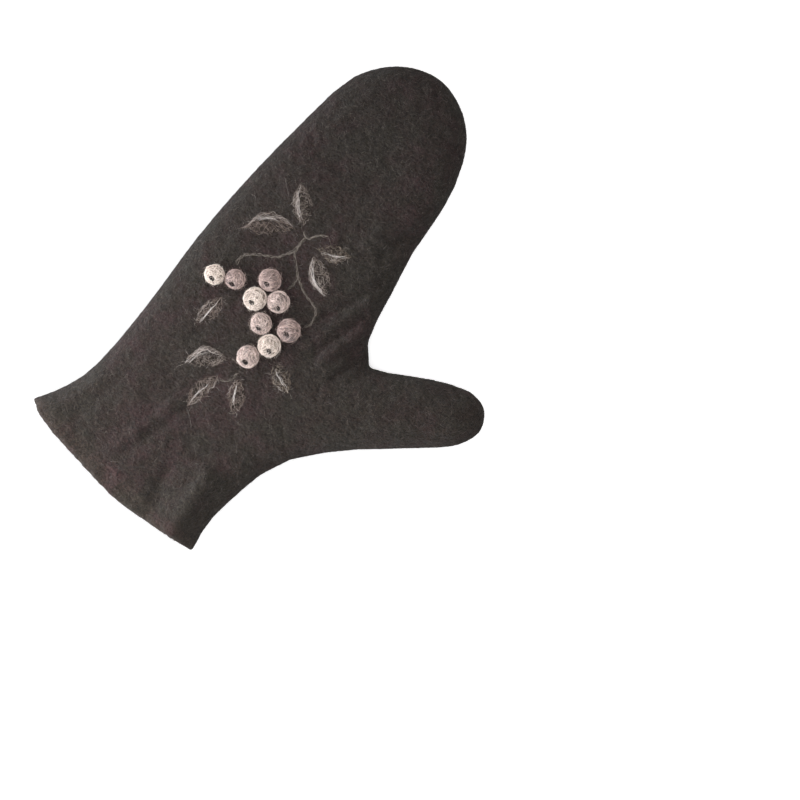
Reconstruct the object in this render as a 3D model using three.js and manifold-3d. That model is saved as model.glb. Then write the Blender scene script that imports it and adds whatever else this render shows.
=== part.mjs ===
// Felted wool mitten for the left hand, lying palm down, with a needle-felted berry sprig on its back.
//
// Millimetres, +Z up, and the surface that it lies on is z = 0. The fingers point along +Y, the mouth of
// the cuff faces -Y, and the thumb is on the +X side. Every shape is drawn from the middle of the cuff,
// and the group then moves the whole so that the middle of its footprint is the origin.

import * as THREE from 'three';
import { mergeVertices } from 'three/addons/utils/BufferGeometryUtils.js';
import Module from 'manifold-3d';

const wasm = await Module();
wasm.setup();

// The felt
const WALL = 3; // thickness of the wool
const RIM_RADIUS = 6; // outer rounding of the side edge, where back and palm meet
const CROWN = 6; // rise of the back above the rounded edge
const CROWN_REACH = 21; // distance from the edge at which the back is up
const LIP = 0.9; // how far the rounded lip of the cuff stands out
const GAP = 0.3; // clearance between neighbouring pieces

// The edge of the mitten as it lies, from the cuff's left corner over the fingertips, round the thumb and
// back to the cuff's right corner. The named rows divide it into stretches.
const EDGE = [
  { x: -56.5, y: 7.5, name: 'cuffLeft' },
  { x: -49.1, y: 18.7 },
  { x: -43.1, y: 31.2 },
  { x: -39.6, y: 50, name: 'acrossFromWrist' },
  { x: -37.6, y: 87 },
  { x: -37.3, y: 122, name: 'acrossFromCrotch' },
  { x: -34.9, y: 156 },
  { x: -28.1, y: 205.9 },
  { x: -21.7, y: 237.1 },
  { x: -14.1, y: 249.6, name: 'tipLeft' },
  { x: -2, y: 260.2 },
  { x: 16, y: 265.4 },
  { x: 34, y: 259.7 },
  { x: 46, y: 248.5, name: 'tipRight' },
  { x: 54.4, y: 229 },
  { x: 57.6, y: 208 },
  { x: 57.9, y: 185 },
  { x: 61.4, y: 162.2 },
  { x: 64.9, y: 138 },
  { x: 69.5, y: 127 },
  { x: 75, y: 122.6, name: 'crotch' },
  { x: 83, y: 125.5 },
  { x: 99, y: 133.9 },
  { x: 114, y: 140.4 },
  { x: 126, y: 143.2 },
  { x: 135.5, y: 140.4, name: 'thumbUpper' },
  { x: 140.9, y: 130.5 },
  { x: 136.2, y: 118.2, name: 'thumbLower' },
  { x: 114, y: 99.3 },
  { x: 90, y: 80.7 },
  { x: 75, y: 66 },
  { x: 66, y: 54.8 },
  { x: 61.7, y: 44, name: 'wrist' },
  { x: 58.6, y: 32 },
  { x: 54.4, y: 8 },
  { x: 56.2, y: -8, name: 'cuffRight' },
];

// The cut edge of the cuff, from its left corner to its right one
const CUFF = [
  { x: -56.5, y: 7.5 },
  { x: -50, y: 3.6 },
  { x: -34, y: -0.7 },
  { x: -14, y: -4.8 },
  { x: 10, y: -9 },
  { x: 35, y: -8.8 },
  { x: 56.2, y: -8 },
];

// Folds of the back: each runs from its start, where it is full height, to its end, where it has faded.
// A negative height is a dent.
const FOLDS = [
  { fromX: 36.7, fromY: -9, toX: 30, toY: 36, width: 5.5, height: 1.6 },
  { fromX: 26, fromY: -9, toX: 21, toY: 50, width: 6, height: -1.4 },
  { fromX: 48, fromY: -8, toX: 50, toY: 34, width: 5.5, height: -1.1 },
  { fromX: 4, fromY: -9, toX: 7, toY: 26, width: 7, height: 1.1 },
  { fromX: -22, fromY: -5, toX: -14, toY: 34, width: 8, height: -0.8 },
  { fromX: 72, fromY: 116, toX: 54, toY: 98, width: 5, height: -1.1 },
  { fromX: 74, fromY: 114, toX: 78, toY: 88, width: 5, height: -0.8 },
  { fromX: 66, fromY: 124, toX: 48, toY: 127, width: 5, height: -1 },
  { fromX: 53, fromY: 140, toX: 42, toY: 116, width: 4, height: -0.8 },
  { fromX: 60, fromY: 136, toX: 49, toY: 110, width: 4.5, height: 0.7 },
  { fromX: 96, fromY: 118, toX: 82, toY: 100, width: 6, height: 0.7 },
];

// Corners of the cuff that curl up off the surface
const CURLS = [
  { x: -56.5, y: 7.5, reach: 30, height: 2.6 },
  { x: 56.2, y: -8, reach: 18, height: 1.2 },
];

// The sprig
// Each berry's small dark tuft is turned round the berry from +X and tilted from straight up.
const BERRIES = [
  { name: '1', wool: 'cream', x: -18.2, y: 114.6, diameter: 10.6, eyeTurn: -86, eyeTilt: 35 },
  { name: '2', wool: 'rose', x: -8.1, y: 118.85, diameter: 10.6, eyeTurn: -87, eyeTilt: 46 },
  { name: '3', wool: 'rose', x: 6.65, y: 129.2, diameter: 11.96, eyeTurn: -88, eyeTilt: 35 },
  { name: '4', wool: 'cream', x: 6.1, y: 116.7, diameter: 12.3, eyeTurn: -95, eyeTilt: 31 },
  { name: '5', wool: 'rose', x: 16.95, y: 122.6, diameter: 11.8, eyeTurn: -60, eyeTilt: 45 },
  { name: '6', wool: 'rose', x: 16.2, y: 108.2, diameter: 11.3, eyeTurn: -81, eyeTilt: 34 },
  { name: '7', wool: 'rose', x: 30.1, y: 113.7, diameter: 12.3, eyeTurn: -90, eyeTilt: 27 },
  { name: '8', wool: 'cream', x: 26.4, y: 101.4, diameter: 11.9, eyeTurn: -56, eyeTilt: 37 },
  { name: '9', wool: 'rose', x: 20.9, y: 90.3, diameter: 11.9, eyeTurn: -80, eyeTilt: 40 },
];
const BERRY_SEAT = 0.72; // height of a berry's middle above its flat seat, in radii
const BERRY_SIDES = 12;
const BERRY_RINGS = 8;
const BERRY_COLOURS = { cream: 0xcfc0b4, rose: 0xb09a98 };
const DIMPLE_RADIUS = 1.7;
const DIMPLE_DEPTH = 1.2;
const DIMPLE_FLOOR = { radius: 0.55, depth: 0.95 }; // as parts of the dimple's radius and depth
const EYE = { length: 2.3, width: 1.5, height: 1.6 };
const EYE_SIDES = 8;
const EYE_RINGS = 4;

// A leaf runs from its base in the direction of its turn from +X, and bows to its left where bow is
// positive. Its streak goes through points given as [along, across], across to the left.
const LEAVES = [
  {
    name: 'a', x: 3.4, y: 161.9, turn: 129, length: 21.3, halfWidth: 4.6, bow: -1,
    streak: [[0.6, 0.3], [9, 2.2], [20, -0.4]],
  },
  {
    name: 'b', x: 1.9, y: 157.7, turn: -146, length: 27.6, halfWidth: 5.3, bow: -3.1,
    streak: [[1, -1], [11.5, -5.6], [21, -4]],
  },
  {
    name: 'c', x: 17.1, y: 156.9, turn: 23, length: 17.4, halfWidth: 4.05, bow: -0.95,
    streak: [[1.4, -0.6], [8, -1.6], [15.5, -0.9]],
  },
  {
    name: 'd', x: 18.1, y: 152.6, turn: -36, length: 21.8, halfWidth: 4.65, bow: -0.75,
    streak: [[0.8, -0.4], [9, -4.2], [20, -1.4]],
  },
  {
    name: 'e', x: -8.2, y: 107.3, turn: -101, length: 18.6, halfWidth: 4.1, bow: 0.95,
    streak: [[1, 0.2], [8.1, 0.6], [16.3, 1.3]],
  },
  {
    name: 'f', x: 13.3, y: 82.5, turn: -139, length: 22, halfWidth: 4.8, bow: -3.1,
    streak: [[1.4, -1], [10.3, -5], [20.4, -1]],
  },
  {
    name: 'g', x: 14, y: 72.9, turn: -99, length: 21.4, halfWidth: 4.2, bow: -1.4,
    streak: [[4, -0.2], [11, -1.3], [20, -0.4]],
  },
  {
    name: 'h', x: 23.6, y: 78.3, turn: -60, length: 17.9, halfWidth: 4.2, bow: -0.3,
    streak: [[1.6, -0.2], [8.4, -1.5], [13, -1.6]],
  },
  {
    name: 'i', x: 33.6, y: 95.7, turn: -31, length: 16.9, halfWidth: 4.5, bow: 0.2,
    streak: [[1.8, -0.7], [7.8, -0.4], [15, 0]],
  },
];
const LEAF_THICKNESS = 0.9;
const LEAF_EDGE_THICKNESS = 0.4;
const LEAF_END = 0.35; // half the width of a leaf's blunt ends
const LEAF_FULLNESS = 0.8; // below 1 the leaf is fuller towards its ends
const LEAF_ROWS = 8;
const LEAF_COLUMNS = 4;
const STREAK_THICKNESS = 0.5;
const STREAK_HALF_WIDTH = 0.65;
const STREAK_END = 0.25;
const STREAK_ROWS = 7;
const STREAK_REACH = 1.6; // it stays clear of a leaf's edge this near

// The twisted wool stems, as routes over the back
const STEM_RADIUS = 0.7;
const STEM_SIDES = 8;
const STEM_STEP = 3.6;
const BRANCHES = [
  [
    [8.9, 158.2], [8.3, 154.2], [7.4, 148.4], [5.3, 144.8], [2.2, 140.7], [-4.1, 137.4], [-8.7, 134.6],
    [-11.5, 132.1], [-12.8, 127.8], [-11.6, 125.2],
  ],
  [[5.6, 160.3], [8.9, 158.2], [11.2, 159.3], [13.8, 162.8], [18.7, 165.3]],
  [[8.6, 156.4], [8.9, 148.4], [12.1, 144.6], [16.9, 139.4], [17.7, 134.9], [16.9, 130.4]],
  [[15.2, 141.2], [19.4, 137.8], [25.7, 134.1], [32.5, 131.8], [35.9, 129.2], [37, 122.8], [34.8, 119.4]],
];
const STALKS = [
  { name: 'stalk_f', route: [[14.2, 84], [15.4, 85.1], [17.6, 84.9]] },
  { name: 'stalk_g', route: [[15.2, 72.2], [18.2, 73.2], [20.2, 75], [21.4, 78.4], [21.2, 81.3]] },
];

// Fineness of the surfaces
const LINE_FINENESS = 12; // points of a smooth line for each row of its table
const CLOSE_STEPS = [0, 0.09, 0.34, 0.7, 1.2, 2]; // places near a rounded edge, in rim radii
const HAND_COLUMNS = 11;
const WRIST_ROWS = 5;
const THUMB_BASE_ROWS = 4;
const THUMB_BASE_RIM = 7;
const FINGER_ROWS = 9;
const THUMB_COLUMNS = 5;
const WELD = 1e-3;
const LEAF_PLACES = [0, 0.25, 0.5, 0.75, 1]; // where a leaf's bowed middle line is set out
const AROUND = 8; // directions looked in round a place
const ABOVE_ALL = 100;

const ROUGHNESS = 0.95; // the same matt wool everywhere
const COLOURS = {
  felt: 0x3b3533,
  eye: 0x2a201d,
  leaf: 0x6d5f55,
  streak: 0xc2b7ad,
  stem: 0x63574c,
};

// Geometry of closed bodies

// One closed body from loose triangles: shared corners are welded and triangles without area dropped.
function weld(positions) {
  const loose = new THREE.BufferGeometry();
  loose.setAttribute('position', new THREE.Float32BufferAttribute(positions, 3));
  const welded = mergeVertices(loose, WELD);
  const corners = welded.index.array;
  const kept = [];
  for (let i = 0; i < corners.length; i += 3) {
    const [a, b, c] = corners.slice(i, i + 3);
    if (a !== b && b !== c && c !== a) kept.push(a, b, c);
  }
  welded.setIndex(kept);
  welded.computeVertexNormals();
  return welded;
}

function looseTriangles(geometry) {
  const flat = geometry.index ? geometry.toNonIndexed() : geometry;
  return Array.from(flat.getAttribute('position').array);
}

// The faces of a grid of points, whose rows run along +Y and columns along +X when it faces up
function pushGrid(positions, grid, facesUp) {
  for (let row = 1; row < grid.length; row += 1) {
    for (let column = 1; column < grid[row].length; column += 1) {
      const low = grid[row - 1];
      const high = grid[row];
      const quad = [low[column - 1], low[column], high[column], high[column - 1]];
      if (!facesUp) quad.reverse();
      for (const corner of [0, 1, 2, 0, 2, 3]) positions.push(...quad[corner].toArray());
    }
  }
}

// A closed slab between two grids of points with the same rows and columns
function slab(top, bottom) {
  const positions = [];
  const lastColumn = (grid) => grid.map((row) => row.at(-1));
  const firstColumn = (grid) => grid.map((row) => row[0]);
  pushGrid(positions, top, true);
  pushGrid(positions, bottom, false);
  pushGrid(positions, [bottom[0], top[0]], true);
  pushGrid(positions, [top.at(-1), bottom.at(-1)], true);
  pushGrid(positions, [lastColumn(bottom), lastColumn(top)], true);
  pushGrid(positions, [firstColumn(top), firstColumn(bottom)], true);
  return weld(positions);
}

function solidOf(geometry) {
  return new wasm.Manifold(new wasm.Mesh({
    numProp: 3,
    vertProperties: geometry.getAttribute('position').array,
    triVerts: new Uint32Array(geometry.index.array),
  }));
}

function geometryOf(solid) {
  const mesh = solid.getMesh();
  const geometry = new THREE.BufferGeometry();
  geometry.setAttribute('position', new THREE.BufferAttribute(mesh.vertProperties, mesh.numProp));
  geometry.setIndex(Array.from(mesh.triVerts));
  geometry.computeVertexNormals();
  return geometry;
}

function join(geometries) {
  return geometryOf(geometries.map(solidOf).reduce((joined, solid) => joined.add(solid)));
}

function addMesh(name, geometry, colour) {
  const material = new THREE.MeshStandardMaterial({ color: colour, roughness: ROUGHNESS, metalness: 0 });
  const mesh = new THREE.Mesh(geometry, material);
  mesh.name = name;
  mitten.add(mesh);
  return mesh;
}

// Lines of the plan

function smoothLine(rows) {
  const points = rows.map(({ x, y }) => new THREE.Vector3(x, y, 0));
  const curve = new THREE.CatmullRomCurve3(points, false, 'centripetal');
  return curve.getPoints((rows.length - 1) * LINE_FINENESS);
}

// The line moved to its right by a distance. The edge runs clockwise, so its inside is on its right.
function insetLine(line, distance) {
  return line.map((point, i) => {
    const before = line[Math.max(i - 1, 0)];
    const after = line[Math.min(i + 1, line.length - 1)];
    const along = after.clone().sub(before).normalize();
    return point.clone().add(new THREE.Vector3(along.y, -along.x, 0).multiplyScalar(distance));
  });
}

// The stretch of an edge line from one named row to another
function stretch(line, from, to) {
  const place = (name) => EDGE.findIndex((row) => row.name === name) * LINE_FINENESS;
  const part = line.slice(Math.min(place(from), place(to)), Math.max(place(from), place(to)) + 1);
  return place(from) < place(to) ? part : part.reverse();
}

function pointsAlong(line, fractions) {
  const lengths = [0];
  for (let i = 1; i < line.length; i += 1) lengths.push(lengths[i - 1] + line[i].distanceTo(line[i - 1]));
  return fractions.map((fraction) => {
    const target = fraction * lengths.at(-1);
    const found = lengths.findIndex((length, i) => i > 0 && length >= target);
    const next = found < 0 ? line.length - 1 : found;
    const share = (target - lengths[next - 1]) / (lengths[next] - lengths[next - 1]);
    return line[next - 1].clone().lerp(line[next], THREE.MathUtils.clamp(share, 0, 1));
  });
}

function lineLength(line) {
  return line.reduce((sum, point, i) => sum + (i ? point.distanceTo(line[i - 1]) : 0), 0);
}

function distanceToLine(point, line) {
  const nearest = new THREE.Vector3();
  const segment = new THREE.Line3();
  let least = Infinity;
  for (let i = 1; i < line.length; i += 1) {
    segment.set(line[i - 1], line[i]).closestPointToPoint(point, true, nearest);
    least = Math.min(least, nearest.distanceTo(point));
  }
  return least;
}

// Fractions of a length: close together at an end with a rounded edge, and even between
function spacing(length, rim, steps, closeAtStart, closeAtEnd) {
  const close = CLOSE_STEPS.map((step) => (step * rim) / length);
  const start = closeAtStart ? close : [0];
  const end = closeAtEnd ? close.map((fraction) => 1 - fraction).reverse() : [1];
  const step = (end[0] - start.at(-1)) / steps;
  const middle = Array.from({ length: steps - 1 }, (_, i) => start.at(-1) + step * (i + 1));
  return [...start, ...middle, ...end];
}

// A grid of points between four sides: first and last are rows, left and right give one point a row
function fillBetween(first, last, left, right) {
  const rows = left.length - 1;
  const columns = first.length - 1;
  const share = (line) => {
    const fractions = [0];
    const whole = lineLength(line);
    for (let i = 1; i < line.length; i += 1) {
      fractions.push(fractions[i - 1] + line[i].distanceTo(line[i - 1]) / whole);
    }
    return fractions;
  };
  const across = share(first);
  const up = share(left).map((fraction, i) => (fraction + share(right)[i]) / 2);
  return left.map((_, row) => first.map((__, column) => {
    if (row === 0) return first[column].clone();
    if (row === rows) return last[column].clone();
    if (column === 0) return left[row].clone();
    if (column === columns) return right[row].clone();
    const u = across[column];
    const v = up[row];
    const point = new THREE.Vector3();
    point.addScaledVector(left[row], 1 - u).addScaledVector(right[row], u);
    point.addScaledVector(first[column], 1 - v).addScaledVector(last[column], v);
    point.addScaledVector(first[0], -(1 - u) * (1 - v)).addScaledVector(first[columns], -u * (1 - v));
    point.addScaledVector(last[0], -(1 - u) * v).addScaledVector(last[columns], -u * v);
    return point;
  }));
}

// The plan of the mitten as two grids, hand and thumb, which share the line between wrist and crotch.
// The inset plan is the hollow's, with its points as close to its own rounded edge.
function planGrids(inset, rim) {
  const edge = insetLine(smoothLine(EDGE), inset);
  const sides = {
    left: [
      stretch(edge, 'cuffLeft', 'acrossFromWrist'),
      stretch(edge, 'acrossFromWrist', 'acrossFromCrotch'),
      stretch(edge, 'acrossFromCrotch', 'tipLeft'),
    ],
    tip: stretch(edge, 'tipLeft', 'tipRight'),
    finger: stretch(edge, 'crotch', 'tipRight'),
    wrist: stretch(edge, 'cuffRight', 'wrist'),
    thumbLower: stretch(edge, 'wrist', 'thumbLower'),
    thumbTip: stretch(edge, 'thumbLower', 'thumbUpper'),
    thumbUpper: stretch(edge, 'crotch', 'thumbUpper'),
  };
  const thumbBase = [sides.wrist.at(-1), sides.finger[0]];
  const wristRows = spacing(1, 0, WRIST_ROWS, false, false);
  const baseRim = (THUMB_BASE_RIM * rim) / RIM_RADIUS;
  const baseRows = spacing(lineLength(thumbBase), baseRim, THUMB_BASE_ROWS, true, true);
  const fingerRows = spacing(lineLength(sides.finger), rim, FINGER_ROWS, false, true);
  const evenRows = baseRows.map((_, i) => i / (baseRows.length - 1));
  const chain = (parts) => parts.flatMap((part, i) => (i ? part.slice(1) : part));

  const left = chain([
    pointsAlong(sides.left[0], wristRows),
    pointsAlong(sides.left[1], evenRows),
    pointsAlong(sides.left[2], fingerRows),
  ]);
  const basePoints = pointsAlong(thumbBase, baseRows);
  const right = chain([
    pointsAlong(sides.wrist, wristRows),
    basePoints,
    pointsAlong(sides.finger, fingerRows),
  ]);

  // The cuff's row keeps the cut edge's form and is moved at its ends to the inset corners
  const outerCuff = smoothLine(CUFF);
  const columns = spacing(lineLength(outerCuff), rim, HAND_COLUMNS, true, true);
  const cuffRow = pointsAlong(outerCuff, columns).map((point, i) => {
    const leftMove = left[0].clone().sub(outerCuff[0]);
    const rightMove = right[0].clone().sub(outerCuff.at(-1));
    return point.add(leftMove.lerp(rightMove, columns[i]));
  });
  const hand = fillBetween(cuffRow, pointsAlong(sides.tip, columns), left, right);

  const thumbColumns = spacing(lineLength(sides.thumbUpper), rim, THUMB_COLUMNS, false, true);
  const thumbRows = [
    pointsAlong(sides.thumbLower, thumbColumns),
    pointsAlong(sides.thumbUpper, thumbColumns),
  ];
  const thumb = fillBetween(
    thumbRows[0],
    thumbRows[1],
    basePoints,
    pointsAlong(sides.thumbTip, baseRows),
  );
  return { edge, hand, thumb };
}

// Heights of the felt

// Height of a quarter round of the given radius at a distance from its foot
function roundRise(distance, radius) {
  const short = Math.max(0, 1 - distance / radius);
  return radius * Math.sqrt(Math.max(0, 1 - short * short));
}

function easeIn(distance, reach) {
  const short = Math.max(0, 1 - distance / reach);
  return 1 - short * short;
}

function foldHeight(point) {
  return FOLDS.reduce((sum, fold) => {
    const start = new THREE.Vector3(fold.fromX, fold.fromY, 0);
    const line = new THREE.Line3(start, new THREE.Vector3(fold.toX, fold.toY, 0));
    const place = line.closestPointToPointParameter(point, true);
    const away = line.at(place, new THREE.Vector3()).distanceTo(point) / fold.width;
    return sum + fold.height * (1 - place) * Math.exp(-away * away);
  }, 0);
}

function curlHeight(point) {
  return CURLS.reduce((sum, curl) => {
    const near = Math.max(0, 1 - Math.hypot(point.x - curl.x, point.y - curl.y) / curl.reach);
    return sum + curl.height * near * near;
  }, 0);
}

// A grid lifted to the back or the palm side of a skin with its own edge and rounding
function liftGrid(grid, skin, outerEdge, isBack) {
  return grid.map((row) => row.map((point) => {
    const distance = distanceToLine(point, skin.edge);
    const rise = roundRise(distance, skin.rim);
    const crown = CROWN * easeIn(distanceToLine(point, outerEdge), CROWN_REACH);
    const swell = easeIn(distance, skin.rim) * (crown + foldHeight(point));
    const height = RIM_RADIUS + (isBack ? rise + swell : -rise) + curlHeight(point);
    return new THREE.Vector3(point.x, point.y, height);
  }));
}

// The rounded lip that joins the outer and the inner skin at the mouth of the cuff
function pushLip(positions, outerRow, innerRow, isBack) {
  const ridge = outerRow.map((point, i) => {
    const middle = point.clone().add(innerRow[i]).multiplyScalar(0.5);
    return middle.add(new THREE.Vector3(0, -LIP, 0));
  });
  pushGrid(positions, [innerRow, ridge, outerRow], isBack);
}

function shellGeometry() {
  const positions = [];
  const outer = { ...planGrids(0, RIM_RADIUS), rim: RIM_RADIUS };
  const inner = { ...planGrids(WALL, RIM_RADIUS - WALL), rim: RIM_RADIUS - WALL };
  for (const isBack of [true, false]) {
    const outerHand = liftGrid(outer.hand, outer, outer.edge, isBack);
    const innerHand = liftGrid(inner.hand, inner, outer.edge, isBack);
    const outerThumb = liftGrid(outer.thumb, outer, outer.edge, isBack);
    const innerThumb = liftGrid(inner.thumb, inner, outer.edge, isBack);
    pushGrid(positions, outerHand, isBack);
    pushGrid(positions, outerThumb, isBack);
    pushGrid(positions, innerHand, !isBack);
    pushGrid(positions, innerThumb, !isBack);
    pushLip(positions, outerHand[0], innerHand[0], isBack);
  }
  return weld(positions);
}

// Things that lie on the back

// Height of the uppermost of some meshes at a place
function heightOn(supports, x, y) {
  const ray = new THREE.Raycaster(new THREE.Vector3(x, y, ABOVE_ALL), new THREE.Vector3(0, 0, -1));
  return Math.max(...ray.intersectObjects(supports, false).map((hit) => hit.point.z));
}

// The same, taken as the highest within a reach, for what crosses an edge
function heightAround(supports, x, y, reach) {
  let highest = heightOn(supports, x, y);
  for (let turn = 0; turn < AROUND; turn += 1) {
    const angle = (2 * Math.PI * turn) / AROUND;
    const height = heightOn(supports, x + reach * Math.cos(angle), y + reach * Math.sin(angle));
    highest = Math.max(highest, height);
  }
  return highest;
}

// A thin patch along a line over the back, crowned across
function patchGeometry(supports, patch) {
  const { line, halfWidth, thickness, edgeThickness, rows, columns, reach } = patch;
  const top = [];
  const bottom = [];
  for (let row = 0; row <= rows; row += 1) {
    const t = row / rows;
    const middle = line.getPoint(t);
    const direction = line.getTangent(t);
    const toLeft = new THREE.Vector3(-direction.y, direction.x, 0);
    const topRow = [];
    const bottomRow = [];
    for (let column = 0; column <= columns; column += 1) {
      const side = 1 - (2 * column) / columns;
      const point = middle.clone().addScaledVector(toLeft, side * halfWidth(t));
      const base = heightAround(supports, point.x, point.y, reach) + GAP;
      const crown = edgeThickness + (thickness - edgeThickness) * (1 - side * side);
      bottomRow.push(new THREE.Vector3(point.x, point.y, base));
      topRow.push(new THREE.Vector3(point.x, point.y, base + crown));
    }
    top.push(topRow);
    bottom.push(bottomRow);
  }
  return slab(top, bottom);
}

// A leaf's own place on the back, from how far along and to the left of its base it is
function leafPoint(leaf, along, left) {
  const turn = THREE.MathUtils.degToRad(leaf.turn);
  const x = leaf.x + along * Math.cos(turn) - left * Math.sin(turn);
  const y = leaf.y + along * Math.sin(turn) + left * Math.cos(turn);
  return new THREE.Vector3(x, y, 0);
}

function curveThrough(points) {
  return new THREE.CatmullRomCurve3(points, false, 'centripetal');
}

function leafGeometry(leaf, supports) {
  const line = curveThrough(LEAF_PLACES.map((t) => (
    leafPoint(leaf, t * leaf.length, leaf.bow * Math.sin(Math.PI * t))
  )));
  const halfWidth = (t) => LEAF_END + (leaf.halfWidth - LEAF_END) * Math.sin(Math.PI * t) ** LEAF_FULLNESS;
  return patchGeometry(supports, {
    line,
    halfWidth,
    thickness: LEAF_THICKNESS,
    edgeThickness: LEAF_EDGE_THICKNESS,
    rows: LEAF_ROWS,
    columns: LEAF_COLUMNS,
    reach: 0,
  });
}

function streakGeometry(leaf, supports) {
  const line = curveThrough(leaf.streak.map(([along, left]) => leafPoint(leaf, along, left)));
  const halfWidth = (t) => STREAK_END + (STREAK_HALF_WIDTH - STREAK_END) * Math.sin(Math.PI * t);
  return patchGeometry(supports, {
    line,
    halfWidth,
    thickness: STREAK_THICKNESS,
    edgeThickness: STREAK_THICKNESS,
    rows: STREAK_ROWS,
    columns: 1,
    reach: STREAK_REACH,
  });
}

function eyeDirection(berry) {
  const turn = THREE.MathUtils.degToRad(berry.eyeTurn);
  const tilt = THREE.MathUtils.degToRad(berry.eyeTilt);
  return new THREE.Vector3(
    Math.sin(tilt) * Math.cos(turn),
    Math.sin(tilt) * Math.sin(turn),
    Math.cos(tilt),
  );
}

// A ball with a dimple at its upper pole, turned to the eye's direction and flat where it sits
function berryGeometry(berry) {
  const radius = berry.diameter / 2;
  const rimTurn = Math.asin(DIMPLE_RADIUS / radius);
  const profile = [
    new THREE.Vector2(0, radius - DIMPLE_DEPTH),
    new THREE.Vector2(DIMPLE_RADIUS * DIMPLE_FLOOR.radius, radius - DIMPLE_DEPTH * DIMPLE_FLOOR.depth),
  ];
  for (let ring = 0; ring <= BERRY_RINGS; ring += 1) {
    const turn = rimTurn + ((Math.PI - rimTurn) * ring) / BERRY_RINGS;
    profile.push(new THREE.Vector2(Math.max(0, radius * Math.sin(turn)), radius * Math.cos(turn)));
  }
  profile.at(-1).x = 0;
  const geometry = new THREE.LatheGeometry(profile.reverse(), BERRY_SIDES);
  const up = new THREE.Vector3(0, 1, 0);
  geometry.applyQuaternion(new THREE.Quaternion().setFromUnitVectors(up, eyeDirection(berry)));
  const positions = geometry.getAttribute('position');
  for (let i = 0; i < positions.count; i += 1) {
    positions.setZ(i, Math.max(positions.getZ(i), -BERRY_SEAT * radius));
  }
  return weld(looseTriangles(geometry));
}

// Height of a berry's middle, with its flat seat clear of the back everywhere
function berryHeight(berry, supports) {
  const radius = berry.diameter / 2;
  const seatRadius = radius * Math.sqrt(1 - BERRY_SEAT * BERRY_SEAT);
  return heightAround(supports, berry.x, berry.y, seatRadius) + GAP + BERRY_SEAT * radius;
}

function eyeGeometry() {
  const geometry = new THREE.SphereGeometry(0.5, EYE_SIDES, EYE_RINGS);
  geometry.scale(EYE.length, EYE.height, EYE.width);
  return weld(looseTriangles(geometry));
}

function stemGeometry(route, supports) {
  const lift = GAP + STEM_RADIUS;
  const plan = curveThrough(route.map(([x, y]) => new THREE.Vector3(x, y, 0)));
  const steps = Math.max(2, Math.round(plan.getLength() / STEM_STEP));
  const path = curveThrough(plan.getSpacedPoints(steps).map((point) => (
    new THREE.Vector3(point.x, point.y, heightAround(supports, point.x, point.y, STEM_RADIUS) + lift)
  )));
  const section = new THREE.Shape();
  section.setFromPoints(Array.from({ length: STEM_SIDES }, (_, i) => {
    const angle = (2 * Math.PI * i) / STEM_SIDES;
    return new THREE.Vector2(STEM_RADIUS * Math.cos(angle), STEM_RADIUS * Math.sin(angle));
  }));
  const tube = new THREE.ExtrudeGeometry(section, { steps, bevelEnabled: false, extrudePath: path });
  return weld(looseTriangles(tube));
}

// The assembly

const mitten = new THREE.Group();
const shell = addMesh('mitten_shell', shellGeometry(), COLOURS.felt);

for (const berry of BERRIES) {
  const ball = addMesh(`berry_${berry.name}`, berryGeometry(berry), BERRY_COLOURS[berry.wool]);
  ball.position.set(berry.x, berry.y, berryHeight(berry, [shell]));

  const direction = eyeDirection(berry);
  const eyeDistance = berry.diameter / 2 - DIMPLE_DEPTH + GAP + EYE.height / 2;
  const eye = addMesh(`berry_eye_${berry.name}`, eyeGeometry(), COLOURS.eye);
  eye.quaternion.setFromUnitVectors(new THREE.Vector3(0, 1, 0), direction);
  eye.position.copy(ball.position).addScaledVector(direction, eyeDistance);
}

for (const leaf of LEAVES) {
  const patch = addMesh(`leaf_${leaf.name}`, leafGeometry(leaf, [shell]), COLOURS.leaf);
  addMesh(`leaf_streak_${leaf.name}`, streakGeometry(leaf, [shell, patch]), COLOURS.streak);
}

const branches = join(BRANCHES.map((route) => stemGeometry(route, [shell])));
addMesh('stem_branches', branches, COLOURS.stem);
for (const { name, route } of STALKS) {
  addMesh(name, stemGeometry(route, [shell]), COLOURS.stem);
}

const footprint = new THREE.Box3().setFromObject(shell).getCenter(new THREE.Vector3());
mitten.position.set(-footprint.x, -footprint.y, 0);

export default mitten;
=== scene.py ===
# Looks of a felted wool mitten with a needle-felted sprig of berries on its back.
#
# Metres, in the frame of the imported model: the fingers point along +Y, the thumb is on the +X side, and
# the palm side lies on z = 0. Short tables are in millimetres, and MM turns them into metres.

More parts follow.
